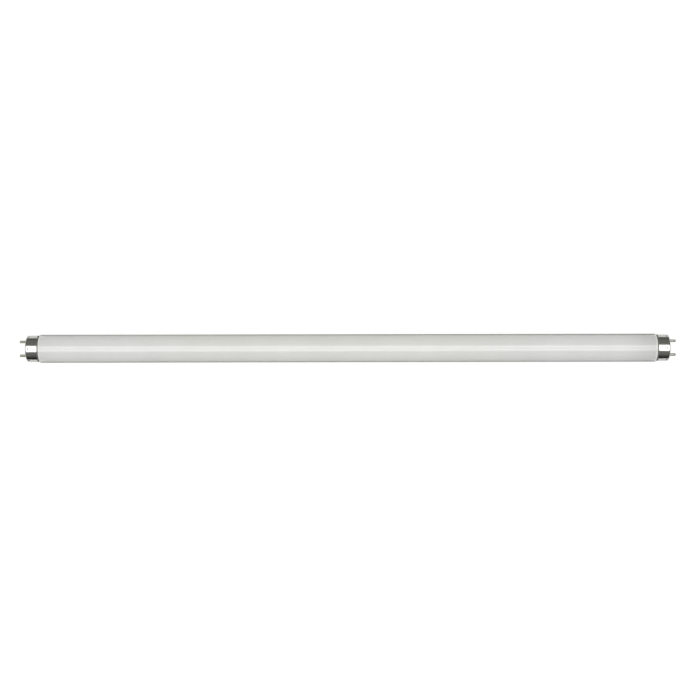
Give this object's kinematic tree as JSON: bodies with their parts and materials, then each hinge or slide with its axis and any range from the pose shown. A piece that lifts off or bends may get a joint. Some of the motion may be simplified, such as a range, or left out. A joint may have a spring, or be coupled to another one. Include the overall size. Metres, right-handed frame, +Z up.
{
  "type": "fluorescent tube",
  "caption": "Straight fluorescent lamp: a sealed tube of white coated glass with bright metal bi-pin caps on its ends, for twist-in lampholders.",
  "frame": {"origin": "middle of the lamp, on the axis of the tube", "axes": "+X along the tube to the right-hand cap, +Z up, with the two pins of each cap side by side along Y"},
  "size_m": [0.604, 0.0256, 0.0256],
  "materials": {
    "coated_glass": "smooth clear glass over a white powder coat",
    "bright_aluminium": "bright drawn sheet",
    "insulating_board": "moulded phenolic",
    "pin_brass": "plain drawn brass, dulled",
    "cap_cement": "cured cement",
    "lead_wire": "plated wire"
  },
  "bodies": {
    "root": {"glass_tube": "coated_glass", "left_cap_shell": "bright_aluminium", "right_cap_shell": "bright_aluminium", "left_insulating_plate": "insulating_board", "right_insulating_plate": "insulating_board", "left_front_pin": "pin_brass", "left_rear_pin": "pin_brass", "right_front_pin": "pin_brass", "right_rear_pin": "pin_brass", "left_cap_cement": "cap_cement", "right_cap_cement": "cap_cement", "left_front_lead_wire": "lead_wire", "left_rear_lead_wire": "lead_wire", "right_front_lead_wire": "lead_wire", "right_rear_lead_wire": "lead_wire"}
  },
  "joints": []
}
